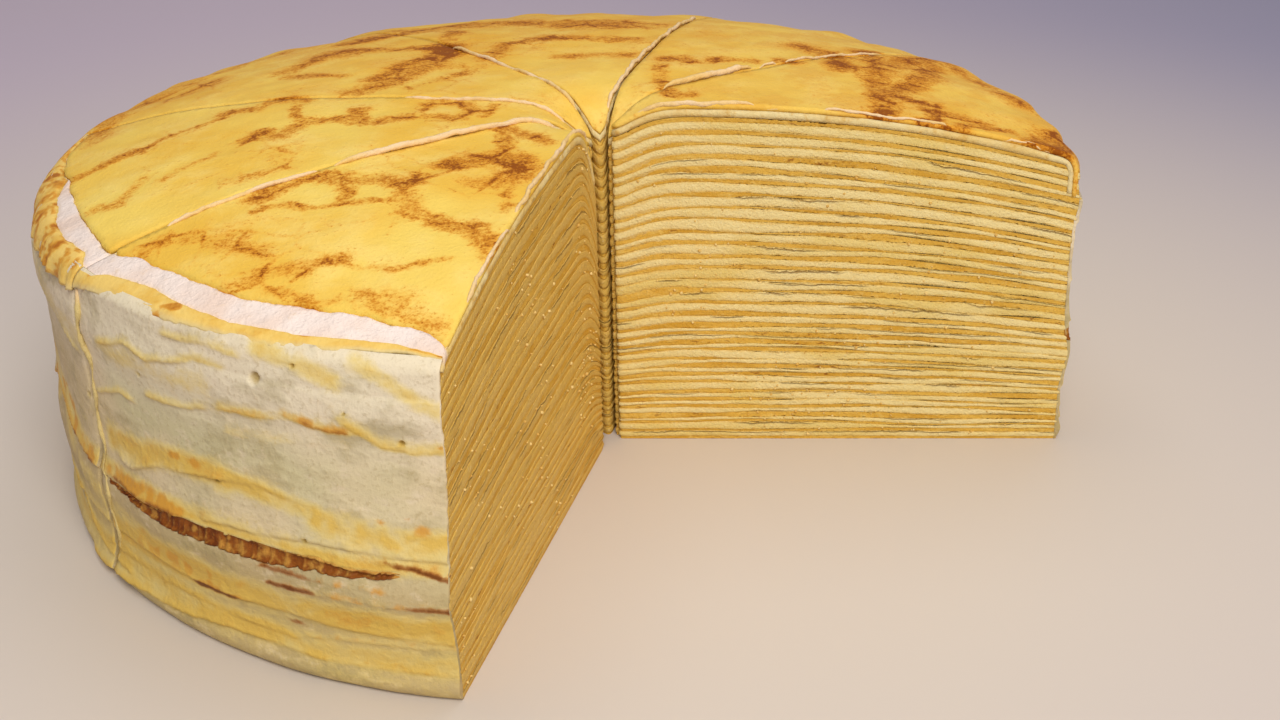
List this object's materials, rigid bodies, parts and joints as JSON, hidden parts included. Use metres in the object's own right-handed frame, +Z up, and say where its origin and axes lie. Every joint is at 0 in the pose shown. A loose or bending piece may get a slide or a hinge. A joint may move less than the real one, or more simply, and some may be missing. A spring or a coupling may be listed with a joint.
{
  "type": "crepe cake",
  "caption": "Round mille crepe cake with a domed browned top and cream-coated wall, cut into slices, with a wide wedge taken out to show its many thin layers.",
  "frame": {"origin": "middle of the whole cake's underside, on the surface it stands on", "axes": "+Z up through the domed top; +X to the right and -Y to the front of a person who looks into the wedge that was taken out; the wedge opens between +X and -Y"},
  "size_m": [0.223, 0.2204, 0.0785],
  "materials": {
    "crepe_layers": "soft moist edges of thin egg-yellow crepes with cream between them",
    "browned_crepe": "soft satin crepe, egg yellow with a lacy brown pan pattern",
    "top_cream": "smooth whipped cream, white with a faint pink cast",
    "side_cream": "spread cream coat, off-white, with crepe edges showing through"
  },
  "bodies": {
    "root": {"slice_1_stack": "crepe_layers", "slice_1_top_cream": "top_cream", "slice_1_top_crepe": "browned_crepe", "slice_1_side_cream": "side_cream", "slice_2_stack": "crepe_layers", "slice_2_top_cream": "top_cream", "slice_2_top_crepe": "browned_crepe", "slice_2_side_cream": "side_cream", "slice_3_stack": "crepe_layers", "slice_3_top_cream": "top_cream", "slice_3_top_crepe": "browned_crepe", "slice_3_side_cream": "side_cream", "slice_4_stack": "crepe_layers", "slice_4_top_cream": "top_cream", "slice_4_top_crepe": "browned_crepe", "slice_4_side_cream": "side_cream", "slice_5_stack": "crepe_layers", "slice_5_top_cream": "top_cream", "slice_5_top_crepe": "browned_crepe", "slice_5_side_cream": "side_cream", "slice_6_stack": "crepe_layers", "slice_6_top_cream": "top_cream", "slice_6_top_crepe": "browned_crepe", "slice_6_side_cream": "side_cream"}
  },
  "joints": []
}
